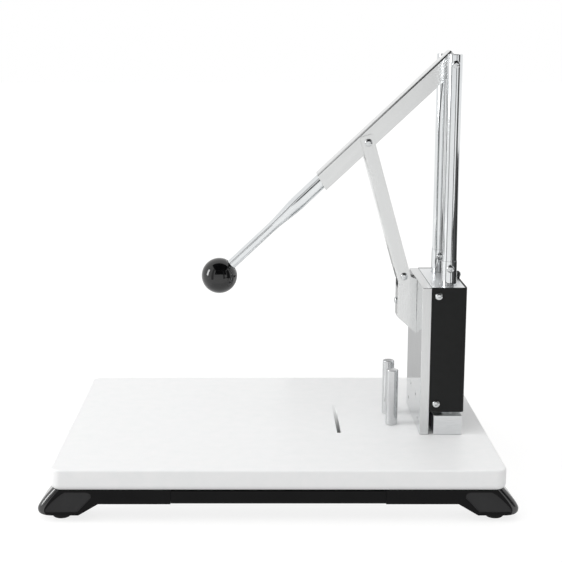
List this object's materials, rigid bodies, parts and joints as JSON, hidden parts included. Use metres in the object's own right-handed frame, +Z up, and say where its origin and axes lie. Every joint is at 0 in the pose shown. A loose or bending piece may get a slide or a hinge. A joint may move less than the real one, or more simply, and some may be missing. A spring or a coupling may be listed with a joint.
{
  "type": "hand lever press",
  "caption": "Hand lever press on a white cutting board: a lever and link drive a carriage with a tool plate down two guide rods.",
  "frame": {"origin": "on the ground, below the centre of the footprint", "axes": "+X along the board towards the guide rods, +Y away from the operator's side across the board, +Z up"},
  "size_m": [0.559, 0.4, 0.5354],
  "materials": {
    "polyethylene": "satin white polyethylene",
    "moulding": "satin black moulding",
    "rubber": "matte black rubber",
    "chrome": "hard chrome, polished",
    "steel": "brushed stainless",
    "polished_steel": "ground and polished",
    "aluminium": "milled",
    "bronze": "plain bearing bronze",
    "black_paint": "matte black powder coat",
    "phenolic": "glossy black phenolic"
  },
  "bodies": {
    "frame": {"base_block": "aluminium", "cutting_board": "polyethylene", "front_beam": "moulding", "front_left_foot": "moulding", "front_left_foot_screw": "steel", "front_left_pad": "rubber", "front_right_foot": "moulding", "front_right_foot_screw": "steel", "front_right_pad": "rubber", "guide_rod_front": "chrome", "guide_rod_rear": "chrome", "locating_pin_front": "steel", "locating_pin_rear": "steel", "pivot_bolt": "steel", "pivot_nut": "steel", "pivot_spacer_front": "steel", "pivot_spacer_rear": "steel", "rear_beam": "moulding", "rear_left_foot": "moulding", "rear_left_foot_screw": "steel", "rear_left_pad": "rubber", "rear_right_foot": "moulding", "rear_right_foot_screw": "steel", "rear_right_pad": "rubber", "rod_bolt_front": "steel", "rod_bolt_rear": "steel"},
    "lever": {"handle_rod": "chrome", "handle_socket": "steel", "knob": "phenolic", "knob_insert": "bronze", "lever_bush": "bronze", "lever_channel": "steel"},
    "carriage": {"bracket": "steel", "bracket_bolt": "steel", "bracket_spacer": "steel", "cover": "black_paint", "cover_screw_front_lower": "steel", "cover_screw_front_upper": "steel", "cover_screw_rear_lower": "steel", "cover_screw_rear_upper": "steel", "cover_tab_screw": "steel", "link_foot_bolt": "steel", "link_foot_nut": "steel", "lock_screw_front": "steel", "lock_screw_rear": "steel", "lower_block": "aluminium", "lower_bush_front": "bronze", "lower_bush_rear": "bronze", "plate_screw_front_lower": "steel", "plate_screw_front_upper": "steel", "plate_screw_rear_lower": "steel", "plate_screw_rear_upper": "steel", "tool_plate": "polished_steel", "upper_block": "aluminium", "upper_bush_front": "chrome", "upper_bush_rear": "chrome"},
    "link_arm": {"link": "steel", "link_bolt": "steel", "link_nut": "steel"}
  },
  "joints": [
    {"name": "lever_pivot", "type": "hinge", "parent": "frame", "child": "lever", "pos_m": [0.212, 0, 0.519], "axis": [0, 1, 0], "range_deg": [0, 44]},
    {"name": "carriage_slide", "type": "slide", "parent": "frame", "child": "carriage", "axis": [0, 0, 1], "range_m": [0, 0.113]},
    {"name": "link_foot_pivot", "type": "hinge", "parent": "carriage", "child": "link_arm", "pos_m": [0.1603, 0, 0.2558], "axis": [0, 1, 0], "range_deg": [-14, 0]}
  ],
  "couplings": [
    {"joint": "carriage_slide", "follows": "lever_pivot", "m_per_rad": 0.14575},
    {"joint": "link_foot_pivot", "follows": "lever_pivot", "ratio": -0.3125}
  ]
}
